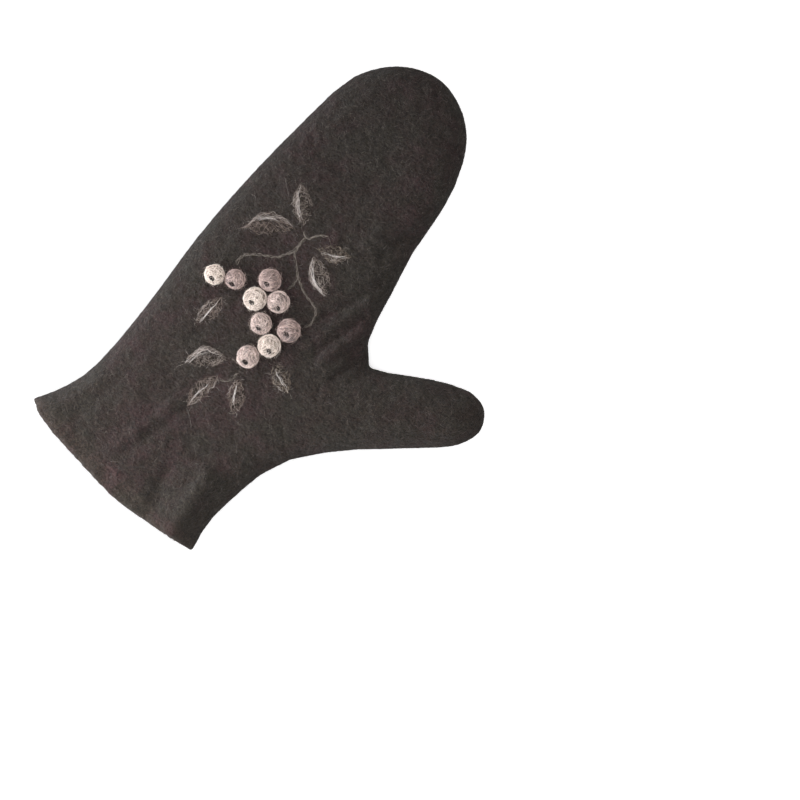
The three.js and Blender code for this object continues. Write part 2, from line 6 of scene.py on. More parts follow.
import math
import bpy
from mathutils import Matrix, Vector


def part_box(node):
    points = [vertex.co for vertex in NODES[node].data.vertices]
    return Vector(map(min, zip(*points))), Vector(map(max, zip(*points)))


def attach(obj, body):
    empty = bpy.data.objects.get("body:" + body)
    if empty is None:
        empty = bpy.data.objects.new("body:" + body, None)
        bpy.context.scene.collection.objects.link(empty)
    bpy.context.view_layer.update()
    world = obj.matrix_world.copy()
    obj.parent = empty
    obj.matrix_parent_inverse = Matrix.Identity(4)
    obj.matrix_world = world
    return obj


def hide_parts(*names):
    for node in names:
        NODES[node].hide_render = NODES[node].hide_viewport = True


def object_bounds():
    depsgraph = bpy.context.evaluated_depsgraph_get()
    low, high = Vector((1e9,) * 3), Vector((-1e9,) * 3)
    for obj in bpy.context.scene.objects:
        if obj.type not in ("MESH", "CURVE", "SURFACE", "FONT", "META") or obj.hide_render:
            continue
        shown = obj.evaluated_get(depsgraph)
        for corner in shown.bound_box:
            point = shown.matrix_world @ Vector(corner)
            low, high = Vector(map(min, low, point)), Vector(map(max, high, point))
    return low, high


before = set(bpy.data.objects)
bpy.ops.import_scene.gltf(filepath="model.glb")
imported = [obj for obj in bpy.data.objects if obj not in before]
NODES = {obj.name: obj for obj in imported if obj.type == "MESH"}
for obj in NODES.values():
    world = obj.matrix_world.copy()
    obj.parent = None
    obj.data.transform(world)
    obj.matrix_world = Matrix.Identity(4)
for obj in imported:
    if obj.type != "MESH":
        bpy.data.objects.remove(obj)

from types import SimpleNamespace as Values

import bmesh
import bpy
import numpy as np
from mathutils import Vector, noise
from mathutils.bvhtree import BVHTree

CAD_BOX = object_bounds()
MM = 0.001
TINY = 1e-12  # keeps a division from 0
PIECES = bpy.data.collections.new("mitten")
bpy.context.scene.collection.children.link(PIECES)
RAKE_SHADOWS = bpy.data.collections.new("rake_shadows")

# The photograph's view: straight down from far off, turned in its plane
VIEW_LENS = 300
VIEW_SENSOR = 36
VIEW_WIDTH = 0.416  # what the view takes in at the mitten's edge
VIEW_EDGE_HEIGHT = 0.008
VIEW_CENTRE = (0.0555, -0.0089)
VIEW_TURN = math.radians(36)

# Surroundings. The light comes from the cuff's side of the picture, and the rake brings out the relief.
FLOOR_SIZE = 6
FLOOR_GAP = 0.05 * MM  # under the mitten
FLOOR_COLOUR = "#f7f7f7"
FLOOR_GLOW = 0.6
FLOOR_ROUGHNESS = 0.9
WORLD_COLOUR = "#ffffff"
WORLD_STRENGTH = 0.9
KEY = Values(place=(-0.34, -0.29, 0.31), size=0.8, watts=7.8, colour="#f2f7ff")
RAKE = Values(place=(-0.5, -0.42, 0.26), size=0.2, watts=6.2, colour="#f2f7ff")

# The felt's shape
WELD = 0.001 * MM  # corners of a node nearer than this are one
RAY_START = 100 * MM  # above everything
FELT_VOXEL = 1.2 * MM
FELT_SMOOTHING = {"factor": 0.5, "iterations": 4}
FELT_NAP = 0.22 * MM  # what the smoothing takes off the outline
FELT_LUMPS = (  # their size and how far they stand out
    (14 * MM, 0.8 * MM),
    (5 * MM, 0.6 * MM),
    (2.6 * MM, 0.42 * MM),
)
BACK_WALL = (5 * MM, 9 * MM)  # wrinkles fade in between these heights
WRINKLES = (  # low ridges and hollows in the back: start, end, width and height, in millimetres
    ((1.0, -135.2), (-1.4, -102.2), 6.0, 4.3),
    ((-15.9, -136.2), (-19.9, -108.6), 4.0, -1.5),
    ((-51.2, -118.5), (-35.7, -71.3), 2.6, 1.1),
    ((-44.1, -117.2), (-30.0, -72.5), 2.4, -0.9),
    ((-0.2, -14.0), (13.1, 23.0), 2.2, 1.5),
    ((-7.2, -11.0), (11.9, 33.4), 2.4, -1.5),
    ((10.4, -17.5), (19.4, 9.9), 2.2, 1.5),
    ((5.7, -15.5), (15.6, 15.2), 2.0, -1.4),
    ((20.2, -20.0), (28.8, -0.9), 2.0, -1.7),
    ((-7.4, 46.7), (8.9, 73.0), 3.0, 1.1),
    ((4.1, 48.6), (15.8, 81.2), 3.2, -1.3),
    ((-55.3, 90.6), (-50.1, 112.1), 3.0, 0.9),
    ((-53.8, 70.8), (-40.8, 70.6), 5.0, -1.3),
    ((-87.4, -117.4), (-76.5, -90.3), 4.0, 1.1),
    ((-75.9, -115.5), (-67.7, -87.1), 3.5, -0.9),
    ((71.8, 6.3), (89.0, 9.1), 6.0, -1.1),
)

# The felt's colour and grain. Noises are given by scale per metre, detail, roughness and distortion, and
# shades are factors of the colour.
FELT_PATCHES = ((0.4, "#2f2220"), (0.5, "#29211c"), (0.6, "#29241e"))  # plum, charcoal and grey
MOTTLE = (95, 4, 0.6, 0.4)
CLOUDS = (30, 2)
SPECKLE = (760, 3, 0.75)
STROKES = (1, 2, 0.55, 0.6)
DIMPLES = (330, 2, 0.5)
GRAIN = (900, 3, 0.6)
NOISE_RANGE = (0.3, 0.7)  # nearly all of a noise lies in it
SPECKLE_SHADES = (0.4, 1.6)
STROKE_TURNS = (12, 71, 128)  # in degrees
STROKE_LENGTH = 2.6 * MM
STROKE_WIDTH = 0.3 * MM
STROKE_EDGE = (0.55, 0.69)  # a stroke fades in between these values of its noise
STROKE_SHADES = (0.93, 1.3)
PAINTED_LIGHT_ALONG = (1.24, 0.81)  # painted light at the cuff and at the fingertips: lighter where the light falls stronger, darker where it falls weaker
SHADES_ACROSS = (0.95, 1.12)  # at the little finger's side and at the thumb's
CUFF_EDGE = Values(y=-133.1 * MM, slope=-0.145, width=4.5 * MM, shades=(1.35, 1))  # a strip along its edge, drawn lighter
GRAIN_RELIEF = 0.6  # as shares of the relief of the dimples
STROKE_RELIEF = 0.12
FELT_LOOK = Values(bump=1.0, relief=2.6 * MM, sheen=0.05, roughness=(0.9, 1))

# Wool in strands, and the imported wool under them
WOOL_SPECULAR = 0.12
SHEEN_ROUGHNESS = 0.5
OWN_SHADE = 0.7  # of a strand's shade, this share is its own and the rest changes along it
STRAND_LOOK = Values(
    along=(900, 2), twist=(5200, 2),
    bump=0.5, relief=0.08 * MM, sheen=0.08, roughness=(0.85, 1),
)
PACKED_LOOK = Values(
    lumps=(1500, 4, 0.7),
    bump=0.8, relief=0.25 * MM, sheen=0.1, roughness=(0.88, 1),
)

# Strands and their places on the map that textures are baked to
SIDES = 3  # of a strand's section
CELL_MARGIN = 0.15
CORE_MAP_END = 0.48  # a core takes the map's left side
STRAND_MAP_START = 0.5
ROUTE_DETAIL = 12  # places between two points of a route
SHORTEST_ROUTE = 3  # in steps
FULL_TURN = (0, 2 * math.pi)
WAVE_STARTS = (0, 6)  # in radians

# Loose fibres on the felt. Lengths, radii and lifts are in millimetres.
FELT_FIBRES = {
    "felt_fuzz_dark": Values(count=13500, length=(2.0, 5.5), radius=0.07, lift=0.14, seed=11),
    "felt_fuzz_mid": Values(count=14500, length=(1.6, 5.0), radius=0.06, lift=0.2, seed=12),
    "felt_fuzz_light": Values(count=5000, length=(1.2, 4.6), radius=0.042, lift=0.28, seed=13),
}
INSIDE_REACH = 24 * MM  # fibres are seen this far into the mouth of the cuff
CLEAR_AHEAD = 22 * MM  # a surface that faces another one nearer than this is inside
UNDERSIDE_TILT = -0.3  # the underside's normals point further down than this
UNDERSIDE_SHARE = 0.35
INSIDE_SHARE = 0.5
FIBRE_TRIES = 5  # places tried for each fibre
FIBRE_LOOKOUT = 0.1  # in millimetres, from the felt to where a look ahead starts
FIBRE_RADII = (0.7, 1.3)  # in usual radii
FIBRE_BEND = 0.3
FIBRE_ROOT = 0.2  # height of a fibre's root, in radii
FIBRE_GAP = 0.02 * MM
FIBRE_TAPER = (0, 1, 0.85, 0)
NEARLY_UPRIGHT = 0.9

# The berries. Heights are in a berry's radii, turns in radians, and radii and lengths in millimetres.
BALL_DETAIL = 4
BERRY_SEAT = 0.72  # height of a berry's middle above its flat seat
BERRY_SINK = 0.7 * MM  # how far the wool goes down into the felt under the seat
BERRY_CORE = 0.93
BERRY_LUMPS = Values(scale=3.2, height=0.03)
BERRY_STRANDS = Values(
    count=420, points=9, windings=4, scatter=0.6, tilt=(-0.75, 0.75), turn=(0.4, 1.4),
    height=(0.93, 1.0), uneven=0.008, sunk_ends=0.03, radius=(0.075, 0.17),
)
BERRY_HAIRS = Values(
    count=120, points=6, upward=0.5, turn=(0.5, 1.2), root=0.99, length=(0.1, 2.0),
    radius=(0.032, 0.055),
)
DIMPLE = Values(depth=1.5 * MM, radius=1.9 * MM)
EYE_CLEARING = Values(depth=1.2 * MM, radius=1.4 * MM)  # where the strands go under the eye
EYE_GROWTH = 1.7  # the eye's loose edge past its solid
EYE_SINK = 1.1 * MM
EYE_LUMPS = Values(size=0.5 * MM, height=0.14)
EYE_DETAIL = {"levels": 2, "render_levels": 2}
EYE_HAIRS = Values(
    count=60, points=5, upward=0.4, reach=(0.5, 1.5), lift=(-0.05, 0.14),
    radius=(0.03, 0.07),
)
BERRY_WOOLS = ("cream", "rose", "rose", "cream", "blush", "blush", "rose", "cream", "blush")

# The leaves: where each starts, its wool, how many strands lie along it (net), all over it (curls), on its
# wisp's side (pale) and in the wisp, how far apart these last lie, and its tail, a narrow share of it at the
# other end. Places and distances are in millimetres.
LEAF_COLUMNS = ("base", "wool", "net", "curls", "pale", "wisp", "spread", "tail")
LEAF_ROWS = {
    "a": ((-38.8, 34.5), "grey", 50, 54, 24, 10, 1.2, 0),
    "b": ((-40.3, 30.3), "brown", 52, 50, 26, 4, 1.4, 0.28),
    "c": ((-25.1, 29.5), "olive", 42, 46, 8, 8, 0.6, 0),
    "d": ((-24.1, 25.2), "grey", 50, 50, 20, 10, 0.9, 0),
    "e": ((-50.4, -20.1), "brown", 62, 20, 8, 9, 0.28, 0),
    "f": ((-28.9, -44.9), "grey", 44, 66, 38, 5, 0.9, 0),
    "g": ((-28.2, -54.5), "brown", 72, 22, 4, 5, 0.5, 0),
    "h": ((-18.6, -49.1), "brown", 56, 34, 2, 6, 0.4, 0),
    "i": ((-8.6, -31.7), "olive", 36, 36, 3, 4, 0.4, 0),
}
LEAF_LOOKS = {letter: Values(**dict(zip(LEAF_COLUMNS, row))) for letter, row in LEAF_ROWS.items()}
LEAF_END = 0.35 * MM  # half width of a leaf's ends
LEAF_FULLNESS = 0.8
LEAF_MIDDLE = 0.07  # the half width is measured this far about the middle of the length
TAIL_TIP = 0.12  # width at the end of a tail, as a share of the leaf's

# The thin patch of packed wool under a leaf's strands. Corners of the leaf's solid that lie higher over the
# felt than top_from become its top, and the others go down into the felt.
PATCH_MODIFIERS = [
    ("SUBSURF", {"subdivision_type": "SIMPLE", "levels": 2, "render_levels": 2}),
    ("SMOOTH", {"factor": 0.5, "iterations": 3}),
]
PATCH = Values(
    wave=2.2 * MM, ragged=0.16, drawn_in=0.1, top_from=0.45 * MM,
    top=0.28 * MM, uneven=0.12 * MM, bottom=-0.4 * MM,
)

# Strands of a leaf. Starts, reaches and ends are shares of its length, sides are shares of its half width,
# and sizes, steps, lifts and radii are in millimetres.
NET = Values(
    points=10, start=(-0.03, 0.85), reach=(0.1, 0.32), ends=(-0.03, 1.03), side=(-0.95, 0.95),
    slant=0.9, wave=(0.06, 0.3), turns=(6, 14), widest=1.1, lift=(0.03, 0.35),
    radius=(0.06, 0.13),
)
CURLS = Values(
    points=10, turn=(1.2, 4.5), size=(0.4, 1.3), squash=0.8, along=(0.06, 0.94),
    side=(-0.85, 0.85), lift=(0.1, 0.45), radius=(0.05, 0.1),
)
RIM = Values(
    points=10, plain=10, start=(0, 0.7), reach=(0.14, 0.4), ends=(-0.02, 1.02), edge=1.05,
    plain_inward=0.2, pale_inward=0.5, waver=0.13, turns=10, drift=0.3, lift=(0.04, 0.4),
    radius=(0.05, 0.12),
)
LEAF_HAIRS = Values(
    count=46, points=5, bend=1.1, step=(0.4, 1.1), lift=0.15, rise=0.3,
    radius=(0.03, 0.05),
)
WISP = Values(
    points=10, start=(0, 0.5), reach=(0.45, 0.9), last=1.1, apart=0.7, waver=(0.1, 0.4),
    turns=(5, 14), lift=(0.15, 0.5), radius=(0.04, 0.1),
)

# The stems, as routes over the back in millimetres
STEM_ROUTES = {
    "stem_branches": [
        [
            (-33.3, 30.8), (-33.9, 26.8), (-34.8, 21.0), (-36.9, 17.4), (-40.0, 13.3), (-46.3, 10.0),
            (-50.9, 7.2), (-53.7, 4.7), (-55.0, 0.4), (-53.8, -2.2),
        ],
        [(-36.6, 32.9), (-33.3, 30.8), (-31.0, 31.9), (-28.4, 35.4), (-23.5, 37.9)],
        [(-33.6, 29.0), (-33.3, 21.0), (-30.1, 17.2), (-25.3, 12.0), (-24.5, 7.5), (-25.3, 3.0)],
        [
            (-27.0, 13.8), (-22.8, 10.4), (-16.5, 6.7), (-9.7, 4.4), (-6.3, 1.8), (-5.2, -4.6),
            (-7.4, -8.0),
        ],
    ],
    "stalk_f": [[(-28.0, -43.4), (-26.8, -42.3), (-24.6, -42.5)]],
    "stalk_g": [[(-27.0, -55.2), (-24.0, -54.2), (-22.0, -52.4), (-20.8, -49.0), (-21.0, -46.1)]],
}
STEM_STEP = 0.45
STEM_SETTLING = 5  # steps that the height under a stem is averaged over
STEM_STRANDS = Values(  # twist is the length of one turn
    radii=(0.15, 0.14, 0.11, 0.09, 0.08, 0.07), sides=5, ends=3, lift=0.4, twist=8.5,
    wander=1.3, wander_rate=(0.4, 0.9), spread=(0.35, 0.85), flatness=0.5,
    thickness=0.72, swell=0.4, swell_rate=(0.9, 1.8),
)
STEM_HAIRS = Values(
    fewest=6, points=5, stray=0.7, bend=0.9, step=(0.4, 0.9), lift=0.5, rise=-0.3,
    radius=(0.025, 0.045),
)

# Stray pale hairs and specks on the felt, in millimetres
STRAY_HAIRS = [
    [(-50.9, -126.7), (-49.2, -126.4), (-48.0, -127.3)],
    [(-32.0, -77.1), (-28.2, -79.7), (-23.6, -83.8)],
    [(-33.6, -99.6), (-31.6, -99.4), (-30.3, -100.4)],
    [(-1.4, -75.9), (1.8, -79.0), (3.3, -81.8)],
    [(-16.2, -91.3), (-12.5, -94.9)],
    [(-48.6, -125.0), (-45.9, -121.8), (-42.8, -120.7)],
    [(4.9, -12.1), (6.6, -14.0)],
    [(44.6, -20.6), (47.0, -18.5)],
    [(-69.8, 32.3), (-67.5, 32.4), (-65.9, 31.2)],
    [(-75.6, 3.2), (-73.3, 3.3), (-72.7, 1.4)],
    [(-79.9, -14.0), (-76.1, -14.8)],
    [(-61.0, 49.6), (-56.6, 45.8), (-53.3, 42.7)],
    [(-46.2, -41.6), (-43.8, -42.6)],
    [(-23.6, 136.5), (-22.0, 134.0), (-21.8, 131.0)],
]
SPECKS = [
    (-36.8, -85.5), (0.2, -87.6), (-2.0, -93.4), (-7.0, -123.7), (27.7, -35.2), (80.9, -2.5),
    (73.4, 11.6), (85.8, -0.1), (-11.5, 116.1), (-42.4, 61.7),
]
SPECK_LENGTH = 0.9
STRAY_RADIUS = 0.042 * MM
STRAY_STEP = 0.4
STRAY_LIFT = 0.12 * MM
STRAY_UNEVENNESS = 0.1 * MM

SEEDS = Values(berry=100, berry_eye=200, leaf=300, stem=400, stray_hairs=77)

# Colours of packed wool and of wool in strands, from dark to light
PACKED_COLOURS = {
    # a berry's core is packed wool, drawn darker than its strands: painted shade in the gaps between them
    "cream_core": ("#5b5149", "#94857b"),
    "blush_core": ("#4d4440", "#80736d"),
    "rose_core": ("#443b38", "#756763"),
    "leaf_base": ("#171310", "#2c2520"),
}
STRAND_COLOURS = {
    "felt_fuzz_dark": ("#15100e", "#231c19"),
    "felt_fuzz_mid": ("#2f2926", "#433b36"),
    "felt_fuzz_light": ("#4b433e", "#6f665f"),
    "cream_strand": ("#81756b", "#baab9f", "#dccdc0", "#f1e3d7"),
    "blush_strand": ("#665852", "#9e8b83", "#c8b4a9", "#e2cfc5"),
    "rose_strand": ("#564742", "#86716a", "#aa948b", "#d6c0b6"),
    "eye": ("#0c0807", "#1f1613"),
    "leaf_grey": ("#2b2420", "#5c5149", "#7d7067", "#a3978d"),
    "leaf_olive": ("#2a231e", "#52463c", "#706356", "#928577"),
    "leaf_brown": ("#2b221e", "#54463e", "#6f6057", "#94867c"),
    "leaf_pale": ("#4c433d", "#8b8078", "#bfb3aa"),
    "wisp": ("#7c746e", "#bdb4ac", "#e9e1da"),
    "stem": ("#2f2925", "#5c534b", "#857b71"),
    "stray": ("#4f4945", "#857d77"),
}


# Colours and material nodes

def linear(colour):
    """A colour written as #rrggbb, in linear light with an alpha of 1"""
    parts = [int(colour[i:i + 2], 16) / 255 for i in (1, 3, 5)]
    return [c / 12.92 if c <= 0.04045 else ((c + 0.055) / 1.055) ** 2.4 for c in parts] + [1]


def set_inputs(tree, node, inputs):
    """Sets a node's inputs to numbers, or links them to other nodes' outputs"""
    for name, value in inputs.items():
        if isinstance(value, bpy.types.NodeSocket):
            tree.links.new(value, node.inputs[name])
        else:
            node.inputs[name].default_value = value


def add_node(tree, kind, inputs, output, **settings):
    """An output of a new node"""
    made = tree.nodes.new(kind)
    for name, value in settings.items():
        setattr(made, name, value)
    set_inputs(tree, made, inputs)
    return made.outputs[output]


def noise_of(tree, vector, scale, detail, roughness=0.55, distortion=0.0):
    return add_node(tree, "ShaderNodeTexNoise", {
        "Vector": vector, "Scale": scale, "Detail": detail, "Roughness": roughness, "Distortion": distortion,
    }, "Fac")


def ramp_of(tree, factor, stops):
    made = tree.nodes.new("ShaderNodeValToRGB")
    elements = made.color_ramp.elements
    while len(elements) < len(stops):
        elements.new(1)
    for element, (position, colour) in zip(elements, stops):
        element.position = position
        element.color = linear(colour)
    tree.links.new(factor, made.inputs["Fac"])
    return made.outputs["Color"]


def range_of(tree, value, before, after):
    """The value, taken from one range to another"""
    return add_node(tree, "ShaderNodeMapRange", {
        "Value": value, "From Min": before[0], "From Max": before[1], "To Min": after[0], "To Max": after[1],
    }, "Result")


def maths(tree, operation, first, second):
    return add_node(tree, "ShaderNodeMath", {0: first, 1: second}, "Value", operation=operation)


def product(tree, *values):
    result = values[0]
    for value in values[1:]:
        result = maths(tree, "MULTIPLY", result, value)
    return result


def bump_of(tree, height, strength, distance):
    return add_node(
        tree, "ShaderNodeBump", {"Height": height, "Strength": strength, "Distance": distance}, "Normal",
    )


def new_material(name, sheen):
    """A matt wool material: its tree, its shader and the coordinates of the row frame"""
    material = bpy.data.materials.new(name)
    material.use_nodes = True
    tree = material.node_tree
    shader = tree.nodes["Principled BSDF"]
    set_inputs(tree, shader, {
        "Specular IOR Level": WOOL_SPECULAR, "Sheen Weight": sheen, "Sheen Roughness": SHEEN_ROUGHNESS,
    })
    return material, tree, shader, add_node(tree, "ShaderNodeTexCoord", {}, "Object")


def finish_wool(tree, shader, look, colour, roughness, height):
    set_inputs(tree, shader, {
        "Base Color": colour,
        "Normal": bump_of(tree, height, look.bump, look.relief),
        "Roughness": range_of(tree, roughness, NOISE_RANGE, look.roughness),
    })


def short_fibres(tree, place, turn):
    """Fine light strokes in one direction, from 0 to 1"""
    turned = add_node(tree, "ShaderNodeMapping", {
        "Vector": place, "Rotation": (0, 0, math.radians(turn)),
        "Scale": (1 / STROKE_LENGTH, 1 / STROKE_WIDTH, 1 / STROKE_WIDTH),
    }, "Vector")
    return range_of(tree, noise_of(tree, turned, *STROKES), STROKE_EDGE, (0, 1))


def felt_shade(tree, place, fibres):
    """How light the felt is from place to place, as a factor of its colour, with painted light that makes it
    lighter towards the cuff
    """
    speckle = range_of(tree, noise_of(tree, place, *SPECKLE), NOISE_RANGE, SPECKLE_SHADES)
    lighter = range_of(tree, fibres, (0, 1), STROKE_SHADES)
    x, y = (add_node(tree, "ShaderNodeSeparateXYZ", {"Vector": place}, axis) for axis in "XY")
    # painted light: the felt is lighter towards the cuff, where the light falls stronger, and darker towards
    # the fingertips
    along = range_of(tree, y, (CAD_BOX[0].y, CAD_BOX[1].y), PAINTED_LIGHT_ALONG)
    across = range_of(tree, x, (CAD_BOX[0].x, CAD_BOX[1].x), SHADES_ACROSS)
    from_edge = maths(tree, "SUBTRACT", y, product(tree, x, CUFF_EDGE.slope))
    # the felt is drawn lighter in a strip along the cuff's edge
    edge_strip = (CUFF_EDGE.y, CUFF_EDGE.y + CUFF_EDGE.width)
    edge = range_of(tree, from_edge, edge_strip, CUFF_EDGE.shades)
    return product(tree, speckle, lighter, along, across, edge)


def felt_material():
    material, tree, shader, place = new_material("felt", FELT_LOOK.sheen)
    mottle = noise_of(tree, place, *MOTTLE)
    clouds = noise_of(tree, place, *CLOUDS)
    blend = product(tree, maths(tree, "ADD", mottle, clouds), 0.5)
    patches = ramp_of(tree, blend, FELT_PATCHES)
    first, second, third = (short_fibres(tree, place, turn) for turn in STROKE_TURNS)
    fibres = maths(tree, "MAXIMUM", maths(tree, "MAXIMUM", first, second), third)
    shade = felt_shade(tree, place, fibres)
    colour = add_node(
        tree, "ShaderNodeVectorMath", {"Vector": patches, "Scale": shade}, "Vector", operation="SCALE",
    )
    dimples = noise_of(tree, place, *DIMPLES)
    grain = noise_of(tree, place, *GRAIN)
    height = maths(tree, "ADD", dimples, product(tree, grain, GRAIN_RELIEF))
    height = maths(tree, "ADD", height, product(tree, fibres, STROKE_RELIEF))
    finish_wool(tree, shader, FELT_LOOK, colour, grain, height)
    return material


def wool_material(name, colours):
    """Wool in strands, each with its own shade among colours that run from dark to light"""
    material, tree, shader, place = new_material(name, STRAND_LOOK.sheen)
    own_shade = add_node(tree, "ShaderNodeNewGeometry", {}, "Random Per Island")
    along = noise_of(tree, place, *STRAND_LOOK.along)
    changing = range_of(tree, along, NOISE_RANGE, (0, 1 - OWN_SHADE))
    factor = maths(tree, "ADD", product(tree, own_shade, OWN_SHADE), changing)
    stops = [(i / (len(colours) - 1), colour) for i, colour in enumerate(colours)]
    twist = noise_of(tree, place, *STRAND_LOOK.twist)
    finish_wool(tree, shader, STRAND_LOOK, ramp_of(tree, factor, stops), along, twist)
    return material


def packed_wool_material(name, colours):
    """Dense wool under the strands"""
    material, tree, shader, place = new_material(name, PACKED_LOOK.sheen)
    lumps = noise_of(tree, place, *PACKED_LOOK.lumps)
    colour = ramp_of(tree, lumps, list(zip(NOISE_RANGE, colours)))
    finish_wool(tree, shader, PACKED_LOOK, colour, lumps, lumps)
    return material


# Meshes in code

def unit(vectors):
    return vectors / np.maximum(np.linalg.norm(vectors, axis=-1, keepdims=True), TINY)


def tubes(paths, radii, normals, sides=SIDES):
    """Closed strands that end in points: their corners, their triangles and a place on a map for each corner.

    paths and normals are strands by points by 3, and radii are strands by points."""
    count, points = paths.shape[:2]
    rings = points - 2
    along = unit(np.gradient(paths, axis=1))
    across = unit(np.cross(along, normals))
    up = np.cross(across, along)
    turns = np.arange(sides) * 2 * math.pi / sides
    ring = (
        np.cos(turns)[None, None, :, None] * across[:, 1:-1, None]
        + np.sin(turns)[None, None, :, None] * up[:, 1:-1, None]
    )
    ring = paths[:, 1:-1, None] + radii[:, 1:-1, None, None] * ring
    corners = np.concatenate([paths[:, :1], ring.reshape(count, rings * sides, 3), paths[:, -1:]], axis=1)

    faces = []  # as rows and columns of their corners
    for k in range(sides):
        faces.append([(0, k), (1, k), (1, k + 1)])
        for i in range(1, rings):
            faces.append([(i, k), (i + 1, k + 1), (i, k + 1)])
            faces.append([(i, k), (i + 1, k), (i + 1, k + 1)])
        faces.append([(points - 1, k), (points - 2, k + 1), (points - 2, k)])
    faces = np.array(faces)
    row, column = faces[..., 0], faces[..., 1] % sides
    each = corners.shape[1]
    numbers = np.where(row == 0, 0, np.where(row == points - 1, each - 1, 1 + (row - 1) * sides + column))
    triangles = numbers + (np.arange(count) * each)[:, None, None]
    spots = np.broadcast_to(faces / (points - 1, sides), (count, len(faces), 3, 2))
    return corners.reshape(-1, 3), triangles, spots


def tubes_on_ground(paths, radii, sides=SIDES):
    return tubes(paths, radii, np.broadcast_to(np.array([0.0, 0, 1]), paths.shape), sides)


def build(name, parts, materials, core=None):
    """One mesh object from a core, a mesh of its own with the first material, and strands.

    parts holds (strands from tubes, material number). Each strand has a cell of its own on the map."""
    corners, triangles, spots, numbers = [], [], [], []
    start = 0
    left = 0.0
    if core is not None:
        core_corners, core_triangles = core
        low, high = core_corners.min(0), core_corners.max(0)
        flat = (core_corners - low)[:, :2] / (high - low)[:2]
        corners.append(core_corners)
        triangles.append(core_triangles)
        spots.append(flat[core_triangles] * (CORE_MAP_END, 1))
        numbers.append(np.zeros(len(core_triangles), np.int32))
        start = len(core_corners)
        left = STRAND_MAP_START
    cells = sum(len(part[1]) for part, _ in parts)
    across = max(1, math.ceil(math.sqrt(cells * (1 - left))))
    down = max(1, math.ceil(cells / across))
    cell = 0
    for (part_corners, part_triangles, part_spots), number in parts:
        count, each = part_triangles.shape[:2]
        places = np.arange(cell, cell + count)
        shift = np.stack([places % across, places // across], axis=1)[:, None, None]
        spread = (shift + CELL_MARGIN + (1 - 2 * CELL_MARGIN) * part_spots) / (across, down)
        spots.append((spread * (1 - left, 1) + (left, 0)).reshape(-1, 3, 2))
        corners.append(part_corners)
        triangles.append(part_triangles.reshape(-1, 3) + start)
        numbers.append(np.full(count * each, number, np.int32))
        start += len(part_corners)
        cell += count
    return mesh_object(
        name, np.concatenate(corners), np.concatenate(triangles), materials,
        np.concatenate(numbers), np.concatenate(spots),
    )


def mesh_object(name, corners, triangles, materials, numbers, spots):
    mesh = bpy.data.meshes.new(name)
    mesh.vertices.add(len(corners))
    mesh.vertices.foreach_set("co", corners.astype(np.float32).ravel())
    mesh.loops.add(triangles.size)
    mesh.loops.foreach_set("vertex_index", triangles.astype(np.int32).ravel())
    mesh.polygons.add(len(triangles))
    mesh.polygons.foreach_set("loop_start", np.arange(0, triangles.size, 3, dtype=np.int32))
    for material in materials:
        mesh.materials.append(material)
    mesh.polygons.foreach_set("material_index", numbers)
    layer = mesh.uv_layers.new(name="OFBake")
    layer.data.foreach_set("uv", spots.astype(np.float32).ravel())
    mesh.update(calc_edges=True)
    mesh.shade_smooth()
    return add_piece(name, mesh)


def add_piece(name, mesh):
    made = bpy.data.objects.new(name, mesh)
    PIECES.objects.link(made)
    return made


def finish_piece(piece, slot, *nodes):
    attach(piece, "root")
    if nodes:
        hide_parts(*nodes)


def bvh_of(corners, triangles):
    return BVHTree.FromPolygons(corners.tolist(), triangles.tolist())


def per_corner(mesh, name):
    """A vector for each corner of a mesh: its place, co, or its normal"""
    values = np.empty(len(mesh.vertices) * 3, np.float32)
    mesh.vertices.foreach_get(name, values)
    return values.reshape(-1, 3)


def arrays_of(mesh):
    """Corners and triangles of a mesh"""
    mesh.calc_loop_triangles()
    triangles = np.empty(len(mesh.loop_triangles) * 3, np.int32)
    mesh.loop_triangles.foreach_get("vertices", triangles)
    return per_corner(mesh, "co").astype(float), triangles.reshape(-1, 3)


def welded_copy(node):
    """A copy of a node's mesh whose corners are shared"""
    mesh = NODES[node].data.copy()
    work = bmesh.new()
    work.from_mesh(mesh)
    bmesh.ops.remove_doubles(work, verts=work.verts, dist=WELD)
    work.to_mesh(mesh)
    work.free()
    return mesh


def applied(mesh, name, settings):
    """The mesh with modifiers, given as (type, {setting: value}), applied"""
    temporary = bpy.data.objects.new(name, mesh)
    bpy.context.scene.collection.objects.link(temporary)
    for kind, values in settings:
        modifier = temporary.modifiers.new(kind.lower(), kind)
        for key, value in values.items():
            setattr(modifier, key, value)
    graph = bpy.context.evaluated_depsgraph_get()
    made = bpy.data.meshes.new_from_object(temporary.evaluated_get(graph))
    bpy.data.objects.remove(temporary)
    return made


# The felt shell

def wrinkle_height(places, start, end, width, height):
    """How far a wrinkle lifts each place in plan"""
    start, end = np.array(start) * MM, np.array(end) * MM
    run = end - start
    share = np.clip((places - start) @ run / (run @ run), 0, 1)
    away = np.linalg.norm(places - start - share[:, None] * run, axis=1)
    return height * MM * np.exp(-(away / (width * MM)) ** 2)


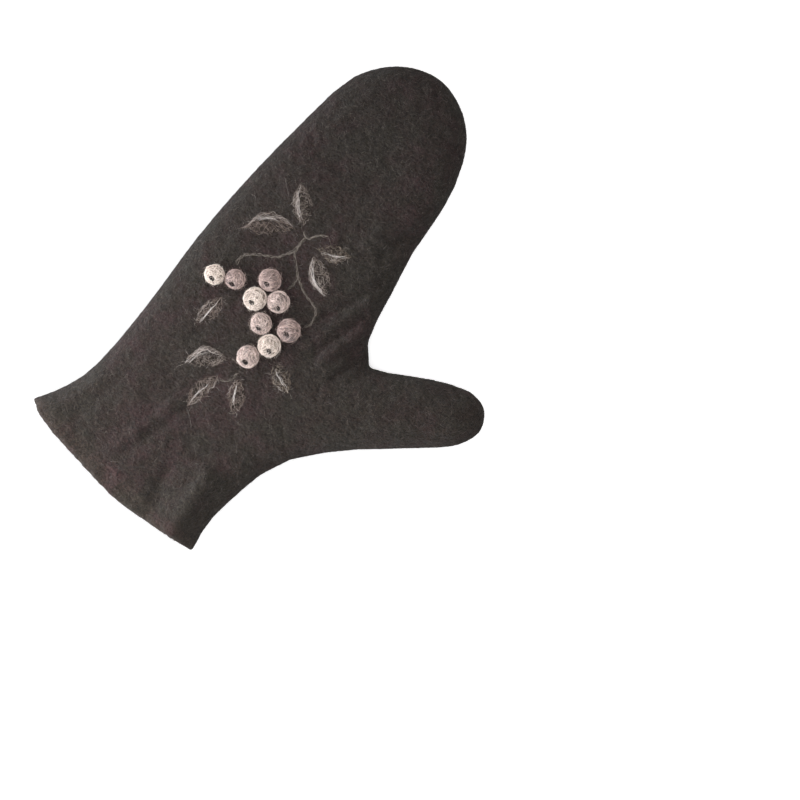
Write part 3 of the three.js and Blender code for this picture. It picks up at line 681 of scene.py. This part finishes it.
def felt_shell():
    mesh = applied(welded_copy("mitten_shell"), "felt_work", [
        ("REMESH", {"mode": "VOXEL", "voxel_size": FELT_VOXEL}),
        ("SMOOTH", FELT_SMOOTHING),
    ])
    corners = per_corner(mesh, "co").astype(float)
    normals = per_corner(mesh, "normal")
    rise = np.zeros(len(corners))
    for size, height in FELT_LUMPS:
        rise += height * np.array([noise.noise(Vector(c) / size) for c in corners])
    upward = np.abs(normals[:, 2])
    corners += normals * (rise * upward + FELT_NAP * (1 - upward))[:, None]
    in_back = np.clip((corners[:, 2] - BACK_WALL[0]) / (BACK_WALL[1] - BACK_WALL[0]), 0, 1)
    for wrinkle in WRINKLES:
        corners[:, 2] += in_back * wrinkle_height(corners[:, :2], *wrinkle)
    corners[:, 2] = np.maximum(corners[:, 2], 0)
    mesh.vertices.foreach_set("co", corners.astype(np.float32).ravel())
    mesh.update()
    mesh.shade_smooth()
    mesh.materials.clear()
    mesh.materials.append(felt_material())
    shell = add_piece("mitten_felt", mesh)
    finish_piece(shell, "felt", "mitten_shell")
    RAKE_SHADOWS.objects.link(shell)
    return shell


def ground(trees, x, y):
    """Height of the uppermost surface at a place"""
    start = Vector((x, y, RAY_START))
    hits = [tree.ray_cast(start, Vector((0, 0, -1)))[0] for tree in trees]
    return max((hit.z for hit in hits if hit is not None), default=0.0)


def on_ground(flat, trees, lift):
    """Places in plan, set on what is under them"""
    heights = np.array([[ground(trees, x, y) for x, y in row] for row in flat])
    return np.concatenate([flat, (heights + lift)[..., None]], axis=2)


def fibre_chance(tree, start, normal):
    """How likely a place on the felt is to carry a loose fibre"""
    ahead = tree.ray_cast(start + normal * FIBRE_LOOKOUT * MM, normal, CLEAR_AHEAD)[0]
    if ahead is None:
        return UNDERSIDE_SHARE if normal.z < UNDERSIDE_TILT else 1
    return INSIDE_SHARE if start.y < CAD_BOX[0].y + INSIDE_REACH else 0


def fibre_roots(rng, wanted, corners, triangles, tree):
    """Places of loose fibres spread evenly over the felt, with their normals and headings"""
    a, b, c = (corners[triangles[:, i]] for i in range(3))
    area_normals = np.cross(b - a, c - a)
    areas = np.linalg.norm(area_normals, axis=1)
    tries = FIBRE_TRIES * wanted
    faces = rng.choice(len(triangles), tries, p=areas / areas.sum())
    u, v = rng.random(tries), rng.random(tries)
    folded = u + v > 1
    u[folded], v[folded] = 1 - u[folded], 1 - v[folded]
    starts = a[faces] + u[:, None] * (b - a)[faces] + v[:, None] * (c - a)[faces]
    normals = unit(area_normals)[faces]
    luck = rng.random(tries)
    headings = rng.random(tries) * 2 * math.pi
    kept = []
    for i in range(tries):
        if luck[i] < fibre_chance(tree, Vector(starts[i]), Vector(normals[i])):
            kept.append(i)
        if len(kept) == wanted:
            break
    return starts[kept], normals[kept], headings[kept]


def felt_fibres(corners, triangles, tree, name, look, material):
    """Short fibres that lie on the felt, with one end free"""
    rng = np.random.default_rng(look.seed)
    place, normals, heading = fibre_roots(rng, look.count, corners, triangles, tree)
    count, points = len(place), len(FIBRE_TAPER)
    lengths = rng.uniform(*look.length, count) * MM
    radii = look.radius * MM * rng.uniform(*FIBRE_RADII, count)
    lift = look.lift * MM * rng.random(count) ** 2
    helper = np.where(np.abs(normals[:, 2:]) < NEARLY_UPRIGHT, [[0.0, 0, 1]], [[1.0, 0, 0]])
    first = unit(np.cross(normals, helper))
    second = np.cross(normals, first)
    bends = rng.normal(0, FIBRE_BEND, (count, points))
    paths = np.empty((count, points, 3))
    ups = np.empty((count, points, 3))
    for i, share in enumerate(np.linspace(0, 1, points)):
        for k in range(count):
            paths[k, i], ups[k, i], _, _ = tree.find_nearest(Vector(place[k]))
        paths[:, i] += ups[:, i] * (radii * (1 - share) * FIBRE_ROOT + lift * share + FIBRE_GAP)[:, None]
        heading = heading + bends[:, i]
        step = np.cos(heading)[:, None] * first + np.sin(heading)[:, None] * second
        place = place + step * (lengths / (points - 1))[:, None]
    paths[:, :, 2] = np.maximum(paths[:, :, 2], radii[:, None])
    piece = build(name, [(tubes(paths, radii[:, None] * np.array(FIBRE_TAPER), ups), 0)], [material])
    finish_piece(piece, "felt")


# Strands from short lists of points and from random draws

def smooth_route(points, step):
    """Points at even steps along a curve through points"""
    points = np.asarray(points, float)
    padded = np.concatenate([[2 * points[0] - points[1]], points, [2 * points[-1] - points[-2]]])
    t = np.linspace(0, 1, ROUTE_DETAIL, endpoint=False)[:, None]
    fine = []
    for i in range(len(points) - 1):
        p0, p1, p2, p3 = padded[i:i + 4]
        fine.append(0.5 * (
            2 * p1 + (p2 - p0) * t + (2 * p0 - 5 * p1 + 4 * p2 - p3) * t ** 2
            + (3 * p1 - p0 - 3 * p2 + p3) * t ** 3
        ))
    fine = np.concatenate([*fine, points[-1:]])
    lengths = np.concatenate([[0], np.cumsum(np.linalg.norm(np.diff(fine, axis=0), axis=1))])
    places = np.linspace(0, lengths[-1], max(SHORTEST_ROUTE, round(lengths[-1] / step)) + 1)
    return np.stack([np.interp(places, lengths, fine[:, i]) for i in range(fine.shape[1])], axis=1)


def taper(points, ends=1):
    """Thickness along a strand: 0 at its tips, and rising to 1 over about ends + 1 points"""
    share = np.linspace(0, 1, points)
    full = np.clip(np.minimum(share, 1 - share) * points / (ends + 1), 0, 1)
    full[0] = full[-1] = 0
    return full


def draw(rng, limits, count, axes=1):
    """Even random numbers, one for each strand, with further axes for its points"""
    return rng.uniform(*limits, count).reshape(count, *[1] * axes)


def lay(rng, look, flat, trees):
    """Strands from their places in plan, laid on what is under them: their paths and radii"""
    paths = on_ground(flat, trees, draw(rng, look.lift, len(flat)) * MM)
    return paths, draw(rng, look.radius, len(flat)) * MM * taper(look.points)


def loose_hairs(rng, look, roots, headings, trees):
    """Fine hairs that wander over the ground: their paths and radii"""
    count = len(roots)
    share = np.linspace(0, 1, look.points)
    turn = headings[:, None] + rng.normal(0, look.bend, count)[:, None] * share
    steps = np.stack([np.cos(turn), np.sin(turn)], axis=2) * (draw(rng, look.step, count, 2) * MM)
    lift = look.lift * MM + look.rise * MM * share
    paths = on_ground(roots[:, None] + np.cumsum(steps, axis=1), trees, lift)
    return paths, draw(rng, look.radius, count) * MM * taper(look.points)


def standing_hairs(rng, look):
    """Directions of hairs round a ball, with more of them above, and one at right angles to each"""
    directions = unit(rng.normal(size=(look.count, 3)) + (0, 0, look.upward))
    return directions, unit(np.cross(directions, rng.normal(size=(look.count, 3))))


# The berries

def berry_place(name):
    """Middle, radius and seat height of a berry, and the direction of its eye"""
    low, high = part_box(f"berry_{name}")
    radius = max(high.x - low.x, high.y - low.y) / 2
    middle = np.array([(low.x + high.x) / 2, (low.y + high.y) / 2, low.z + BERRY_SEAT * radius])
    eye_low, eye_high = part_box(f"berry_eye_{name}")
    eye = unit(np.array((eye_low + eye_high) / 2) - middle)
    return Values(middle=middle, radius=radius, seat=low.z, eye=eye)


def dimpled(place, directions, distances, dimple):
    """Distances from a berry's middle, pressed in round its eye"""
    turned = np.arccos(np.clip(directions @ place.eye, -1, 1))
    return distances - dimple.depth * np.exp(-(turned * place.radius / dimple.radius) ** 2)


def berry_lumps(directions, seed):
    """Height of a berry's soft lumps in each direction"""
    shift = Vector((seed, 0, 0))
    lumps = [noise.noise(Vector(d) * BERRY_LUMPS.scale + shift) for d in directions.reshape(-1, 3)]
    return BERRY_LUMPS.height * np.reshape(lumps, directions.shape[:-1])


def berry_surface(place, directions, distances, lowest):
    """Places at distances from a berry's middle, cut off flat below"""
    places = place.middle + directions * distances[..., None]
    places[..., 2] = np.maximum(places[..., 2], lowest)
    return places


def berry_core(place, seed):
    """The ball of packed wool: its corners and triangles"""
    ball = bmesh.new()
    bmesh.ops.create_icosphere(ball, subdivisions=BALL_DETAIL, radius=1)
    work = bpy.data.meshes.new("ball")
    ball.to_mesh(work)
    ball.free()
    directions, triangles = arrays_of(work)
    directions = unit(directions)
    distances = place.radius * (BERRY_CORE + berry_lumps(directions, seed))
    distances = dimpled(place, directions, distances, DIMPLE)
    return berry_surface(place, directions, distances, place.seat - BERRY_SINK), triangles


def berry_strands(rng, place, seed):
    """Strands wound round a berry"""
    look = BERRY_STRANDS
    count, points = look.count, look.points
    windings = unit(rng.normal(size=(look.windings, 3)))
    axes = windings[rng.integers(0, look.windings, count)]
    axes = unit(axes + rng.normal(0, look.scatter, (count, 3)))
    first = unit(np.cross(axes, unit(rng.normal(size=(count, 3)))))
    second = np.cross(axes, first)
    tilt = draw(rng, look.tilt, count, 2)
    turns = draw(rng, FULL_TURN, count) + draw(rng, look.turn, count) * np.linspace(0, 1, points)
    circle = np.cos(turns)[..., None] * first[:, None] + np.sin(turns)[..., None] * second[:, None]
    directions = unit(np.cos(tilt) * circle + np.sin(tilt) * axes[:, None])
    heights = draw(rng, look.height, count) + rng.normal(0, look.uneven, (count, points))
    heights[:, [0, -1]] -= look.sunk_ends
    heights += berry_lumps(directions, seed)
    radii = draw(rng, look.radius, count) * MM * taper(points)
    distances = dimpled(place, directions, place.radius * heights, DIMPLE)
    distances = dimpled(place, directions, distances, EYE_CLEARING)
    paths = berry_surface(place, directions, distances, place.seat - BERRY_SINK)
    return tubes(paths, radii, directions)


def berry_hairs(rng, place):
    """Loose hairs that stand off a berry"""
    look = BERRY_HAIRS
    roots, sideways = standing_hairs(rng, look)
    share = np.linspace(0, 1, look.points)[:, None]
    turn = share * draw(rng, look.turn, look.count, 2)
    directions = unit(roots[:, None] * np.cos(turn) + sideways[:, None] * np.sin(turn))
    away = draw(rng, look.length, look.count, 2) * MM * share ** 2
    distances = (place.radius * look.root + away)[..., 0]
    paths = berry_surface(place, directions, distances, place.seat)
    radii = draw(rng, look.radius, look.count) * MM * taper(look.points)
    return tubes(paths, radii, directions)


def berry(name, wool, seed, materials):
    rng = np.random.default_rng(seed)
    place = berry_place(name)
    core = berry_core(place, seed)
    strands = berry_strands(rng, place, seed)
    hairs = berry_hairs(rng, place)
    piece = build(f"berry_wool_{name}", [(strands, 1), (hairs, 1)], materials, core)
    slot = "berry_cream" if wool == "cream" else "berry_rose"
    finish_piece(piece, slot, f"berry_{name}")


def berry_eye(name, seed, materials):
    """The small dark tuft in a berry's dimple"""
    rng = np.random.default_rng(seed)
    look = EYE_HAIRS
    core = applied(welded_copy(f"berry_eye_{name}"), "eye_work", [("SUBSURF", EYE_DETAIL)])
    corners, triangles = arrays_of(core)
    corners -= EYE_SINK * unit(corners.mean(0) - berry_place(name).middle)
    middle = corners.mean(0)
    rough = np.array([noise.noise(Vector(c) / EYE_LUMPS.size) for c in corners])
    corners = middle + (corners - middle) * (EYE_GROWTH + EYE_LUMPS.height * rough)[:, None]
    half = (corners.max(0) - corners.min(0)) / 2

    roots, sideways = standing_hairs(rng, look)
    share = np.linspace(0, 1, look.points)[:, None]
    bend = roots[:, None] + sideways[:, None] * (share - 0.5) * draw(rng, look.reach, look.count, 2)
    lift = 1 + draw(rng, look.lift, look.count, 2)
    paths = middle + unit(bend) * half * lift
    radii = draw(rng, look.radius, look.count) * MM * taper(look.points)
    hairs = tubes(paths, radii, unit(bend))
    piece = build(f"berry_tuft_{name}", [(hairs, 0)], materials, (corners, triangles))
    finish_piece(piece, "eye_wool", f"berry_eye_{name}")


# The leaves

def leaf_frame(node, look):
    """A leaf's start, directions along and to the left, length, bow and half width"""
    corners, _ = arrays_of(NODES[node].data)
    flat = corners[:, :2]
    apart = np.linalg.norm(flat[:, None] - flat[None], axis=2)
    i, j = np.unravel_index(apart.argmax(), apart.shape)
    away = np.linalg.norm(flat - np.array(look.base) * MM, axis=1)
    if away[j] < away[i]:
        i, j = j, i
    along = unit(flat[j] - flat[i])
    left = np.array([-along[1], along[0]])
    length = apart[i, j]
    reach = (flat - flat[i]) @ along / length
    side = (flat - flat[i]) @ left
    middle = side[np.abs(reach - 0.5) < LEAF_MIDDLE]
    bow, half = (middle.max() + middle.min()) / 2, (middle.max() - middle.min()) / 2
    return Values(
        start=flat[i], along=along, left=left, length=length, bow=bow, half=half, tail=look.tail,
    )


def on_leaf(shape, t, across):
    """Places in plan: t from 0 to 1 along a leaf, and across to the left of its straight line"""
    return (
        shape.start + (t * shape.length)[..., None] * shape.along
        + across[..., None] * shape.left
    )


def leaf_spot(shape, t, side):
    """Places on a leaf: t from 0 to 1 along it, side from -1 to 1 across it"""
    arch = np.sin(math.pi * np.clip(t, 0, 1))
    width = LEAF_END + (shape.half - LEAF_END) * arch ** LEAF_FULLNESS
    return on_leaf(shape, t, shape.bow * arch + side * width)


def with_tail(shape, flat):
    """Places on a leaf, drawn in to its middle line in its tail"""
    if not shape.tail:
        return flat
    away = flat - shape.start
    t = away @ shape.along / shape.length
    line = shape.bow * np.sin(math.pi * np.clip(t, 0, 1))
    width = np.clip((1 - t) / shape.tail, TAIL_TIP, 1)
    return flat - ((away @ shape.left - line) * (1 - width))[..., None] * shape.left


def leaf_patch(node, shape, seed, felt_tree):
    """The thin wool under a leaf's strands, set on the felt: its corners and triangles"""
    corners, triangles = arrays_of(applied(welded_copy(node), "leaf_work", PATCH_MODIFIERS))
    middle = corners.mean(0)
    wave = np.array([noise.noise(Vector(c) / PATCH.wave + Vector((seed, 0, 0))) for c in corners])
    growth = PATCH.ragged * wave - PATCH.drawn_in
    corners[:, :2] += (corners[:, :2] - middle[:2]) * growth[:, None]
    corners[:, :2] = with_tail(shape, corners[:, :2])
    heights = np.array([ground([felt_tree], x, y) for x, y in corners[:, :2]])
    on_top = corners[:, 2] - heights > PATCH.top_from
    corners[:, 2] = heights + np.where(on_top, PATCH.top + PATCH.uneven * wave, PATCH.bottom)
    return corners, triangles


def leaf_net(rng, shape, trees, count):
    """Wavy strands that lie along a leaf"""
    share = np.linspace(0, 1, NET.points)
    begin = draw(rng, NET.start, count)
    t = np.clip(begin + share * draw(rng, NET.reach, count), *NET.ends)
    side = draw(rng, NET.side, count)
    slant = rng.normal(0, NET.slant, count)[:, None]
    wave = draw(rng, NET.wave, count)
    phase = draw(rng, WAVE_STARTS, count)
    side = side + slant * (share - 0.5) + wave * np.sin(share * draw(rng, NET.turns, count) + phase)
    side = np.clip(side, -NET.widest, NET.widest)
    return lay(rng, NET, with_tail(shape, leaf_spot(shape, t, side)), trees)


def leaf_curls(rng, shape, trees, count):
    """Short curls all over a leaf"""
    share = np.linspace(0, 1, CURLS.points)
    turn = draw(rng, WAVE_STARTS, count) + share * draw(rng, CURLS.turn, count)
    sizes = draw(rng, CURLS.size, count, 2) * MM
    middles = leaf_spot(shape, rng.uniform(*CURLS.along, count), rng.uniform(*CURLS.side, count))
    rings = np.stack([np.cos(turn), CURLS.squash * np.sin(turn)], axis=2)
    return lay(rng, CURLS, with_tail(shape, middles[:, None] + sizes * rings), trees)


def leaf_rim(rng, shape, trees, plain, pale_side):
    """Strands along both edges of a leaf, and those that aren't plain along its pale side"""
    count = len(plain)
    edge = np.where(plain, np.tile([-1.0, 1.0], count)[:count], pale_side)
    share = np.linspace(0, 1, RIM.points)
    begin = draw(rng, RIM.start, count)
    t = np.clip(begin + share * draw(rng, RIM.reach, count), *RIM.ends)
    inward = np.where(plain, RIM.plain_inward, RIM.pale_inward) * rng.random(count)
    waver = RIM.waver * np.sin(share * RIM.turns + draw(rng, WAVE_STARTS, count))
    drift = rng.normal(0, RIM.drift, count)[:, None] * (share - 0.5)
    side = edge[:, None] * (RIM.edge - inward[:, None] + waver + drift)
    return lay(rng, RIM, with_tail(shape, leaf_spot(shape, t, side)), trees)


def leaf_hairs(rng, shape, trees):
    """Fine loose hairs all over a leaf"""
    count = LEAF_HAIRS.count
    roots = leaf_spot(shape, rng.random(count), rng.uniform(-1, 1, count))
    return loose_hairs(rng, LEAF_HAIRS, roots, rng.uniform(*FULL_TURN, count), trees)


def leaf(name, look, seed, felt_tree, materials, wisp_material):
    rng = np.random.default_rng(seed)
    node = f"leaf_{name}"
    shape = leaf_frame(node, look)
    wisp = leaf_frame(f"leaf_streak_{name}", look)
    wisp_middle = wisp.start + wisp.along * wisp.length / 2 + wisp.left * wisp.bow
    leaf_middle = leaf_spot(shape, np.array(0.5), np.array(0.0))
    pale_side = np.sign((wisp_middle - leaf_middle) @ shape.left) or 1
    core = leaf_patch(node, shape, seed, felt_tree)
    trees = [bvh_of(*core), felt_tree]
    net = leaf_net(rng, shape, trees, look.net)
    curls = leaf_curls(rng, shape, trees, look.curls)
    plain = np.arange(RIM.plain + look.pale) < RIM.plain
    rim, rim_radii = leaf_rim(rng, shape, trees, plain, pale_side)
    hairs = leaf_hairs(rng, shape, trees)
    parts = [
        (tubes_on_ground(*net), 1),
        (tubes_on_ground(*curls), 1),
        (tubes_on_ground(rim[plain], rim_radii[plain]), 1),
        (tubes_on_ground(rim[~plain], rim_radii[~plain]), 2),
        (tubes_on_ground(*hairs), 2),
    ]
    piece = build(f"leaf_wool_{name}", parts, materials, core)
    finish_piece(piece, "leaf_wool", node)
    leaf_wisp(name, look, wisp, rng, trees, wisp_material)


def leaf_wisp(name, look, shape, rng, trees, material):
    """The pale strands that run along a leaf"""
    count = look.wisp
    share = np.linspace(0, 1, WISP.points)
    begin = draw(rng, WISP.start, count)
    end = np.minimum(WISP.last, begin + draw(rng, WISP.reach, count))
    t = begin + (end - begin) * share
    offset = rng.normal(0, WISP.apart, (2, count))[..., None] * (look.spread * MM)
    offset = offset[0] + (offset[1] - offset[0]) * share
    height = draw(rng, WISP.waver, count) * MM
    waver = height * np.sin(share * draw(rng, WISP.turns, count) + draw(rng, WAVE_STARTS, count))
    flat = on_leaf(shape, t, shape.bow * np.sin(math.pi * t) + offset + waver)
    strands = tubes_on_ground(*lay(rng, WISP, flat, trees))
    piece = build(f"leaf_wisp_{name}", [(strands, 0)], [material])
    finish_piece(piece, "streak_wool", f"leaf_streak_{name}")


# The stems

def stem_strand(rng, number, flat, left, heights):
    """One of the strands that are twisted round a stem's middle line"""
    look = STEM_STRANDS
    travelled = np.arange(len(flat)) * STEM_STEP
    turn = 2 * math.pi * (travelled / look.twist + number / len(look.radii))
    turn = turn + look.wander * np.sin(travelled * rng.uniform(*look.wander_rate) + number)
    spread = rng.uniform(*look.spread) * MM
    path = np.concatenate([
        flat + left * (spread * np.cos(turn))[:, None],
        (heights + look.lift * MM + look.flatness * spread * np.sin(turn))[:, None],
    ], axis=1)
    swell = np.sin(travelled * rng.uniform(*look.swell_rate) + rng.uniform(*WAVE_STARTS))
    thick = (look.thickness + look.swell * swell) * taper(len(flat), look.ends)
    return tubes_on_ground(path[None], look.radii[number] * MM * thick[None], look.sides)


def stem(node, routes, seed, felt_tree, material):
    rng = np.random.default_rng(seed)
    parts = []
    for route in routes:
        flat = smooth_route(route, STEM_STEP) * MM
        heights = np.array([ground([felt_tree], x, y) for x, y in flat])
        heights = np.pad(heights, STEM_SETTLING // 2, mode="edge")
        heights = np.convolve(heights, np.ones(STEM_SETTLING) / STEM_SETTLING, mode="valid")
        along = unit(np.gradient(flat, axis=0))
        left = np.stack([-along[:, 1], along[:, 0]], axis=1)
        for number in range(len(STEM_STRANDS.radii)):
            parts.append((stem_strand(rng, number, flat, left, heights), 0))
        hairs = max(STEM_HAIRS.fewest, len(flat) // 2)
        roots = rng.integers(0, len(flat), hairs)
        headings = np.arctan2(along[roots, 1], along[roots, 0]) + rng.normal(0, STEM_HAIRS.stray, hairs)
        loose = loose_hairs(rng, STEM_HAIRS, flat[roots], headings, [felt_tree])
        parts.append((tubes_on_ground(*loose), 0))
    piece = build(node.replace("stem", "stem_wool").replace("stalk", "stalk_wool"), parts, [material])
    finish_piece(piece, "stem_wool", node)


def stray_hairs(felt_tree, material):
    rng = np.random.default_rng(SEEDS.stray_hairs)
    parts = []
    turns = rng.uniform(*WAVE_STARTS, len(SPECKS))
    specks = [
        [(x, y), (x + SPECK_LENGTH * math.cos(turn), y + SPECK_LENGTH * math.sin(turn))]
        for (x, y), turn in zip(SPECKS, turns)
    ]
    for route in STRAY_HAIRS + specks:
        flat = smooth_route(route, STRAY_STEP) * MM
        lift = STRAY_LIFT + STRAY_UNEVENNESS * rng.random((1, len(flat)))
        path = on_ground(flat[None], [felt_tree], lift)
        parts.append((tubes_on_ground(path, STRAY_RADIUS * taper(len(flat))[None]), 0))
    piece = build("stray_hairs", parts, [material])
    finish_piece(piece, "felt")


# Surroundings and camera

def add_stage():
    bpy.ops.mesh.primitive_plane_add(size=FLOOR_SIZE, location=(0, 0, -FLOOR_GAP))
    floor = bpy.context.object
    floor.name = "floor"
    material = bpy.data.materials.new("floor")
    material.use_nodes = True
    tree = material.node_tree
    set_inputs(tree, tree.nodes["Principled BSDF"], {
        "Base Color": linear(FLOOR_COLOUR), "Roughness": FLOOR_ROUGHNESS, "Specular IOR Level": 0.0,
        "Emission Color": linear(FLOOR_COLOUR), "Emission Strength": FLOOR_GLOW,
    })
    floor.data.materials.append(material)

    world = bpy.data.worlds.new("studio")
    world.use_nodes = True
    background = world.node_tree.nodes["Background"]
    set_inputs(world.node_tree, background, {"Color": linear(WORLD_COLOUR), "Strength": WORLD_STRENGTH})
    bpy.context.scene.world = world
    bpy.context.scene.view_settings.view_transform = "Standard"


def add_light(name, light, shadows_from=None):
    lamp = bpy.data.lights.new(name, "AREA")
    lamp.size = light.size
    lamp.energy = light.watts
    lamp.color = linear(light.colour)[:3]
    made = bpy.data.objects.new(name, lamp)
    made.location = light.place
    made.rotation_euler = (-Vector(light.place)).to_track_quat("-Z", "Y").to_euler()
    made.light_linking.receiver_collection = PIECES
    if shadows_from:
        made.light_linking.blocker_collection = shadows_from
    bpy.context.scene.collection.objects.link(made)


def add_camera():
    camera = bpy.data.objects.new("camera", bpy.data.cameras.new("camera"))
    camera.data.lens = VIEW_LENS
    camera.data.sensor_width = VIEW_SENSOR
    camera.location = (*VIEW_CENTRE, VIEW_EDGE_HEIGHT + VIEW_WIDTH * VIEW_LENS / VIEW_SENSOR)
    camera.rotation_euler = (0, 0, VIEW_TURN)
    bpy.context.scene.collection.objects.link(camera)
    bpy.context.scene.camera = camera


add_camera()
add_stage()
add_light("key", KEY)
add_light("rake", RAKE, RAKE_SHADOWS)

packed = {name: packed_wool_material(name, colours) for name, colours in PACKED_COLOURS.items()}
stranded = {name: wool_material(name, colours) for name, colours in STRAND_COLOURS.items()}

shell_corners, shell_triangles = arrays_of(felt_shell().data)
shell_tree = bvh_of(shell_corners, shell_triangles)
for fuzz, fuzz_look in FELT_FIBRES.items():
    felt_fibres(shell_corners, shell_triangles, shell_tree, fuzz, fuzz_look, stranded[fuzz])
for order, berry_wool in enumerate(BERRY_WOOLS, 1):
    # the core's darker wool is painted shade between the strands
    berry_materials = [packed[f"{berry_wool}_core"], stranded[f"{berry_wool}_strand"]]
    berry(str(order), berry_wool, SEEDS.berry + order, berry_materials)
    berry_eye(str(order), SEEDS.berry_eye + order, [stranded["eye"]])
for order, (letter, leaf_look) in enumerate(LEAF_LOOKS.items()):
    leaf_materials = [packed["leaf_base"], stranded[f"leaf_{leaf_look.wool}"], stranded["leaf_pale"]]
    leaf(letter, leaf_look, SEEDS.leaf + order, shell_tree, leaf_materials, stranded["wisp"])
for order, (stem_node, stem_routes) in enumerate(STEM_ROUTES.items()):
    stem(stem_node, stem_routes, SEEDS.stem + order, shell_tree, stranded["stem"])
stray_hairs(shell_tree, stranded["stray"])
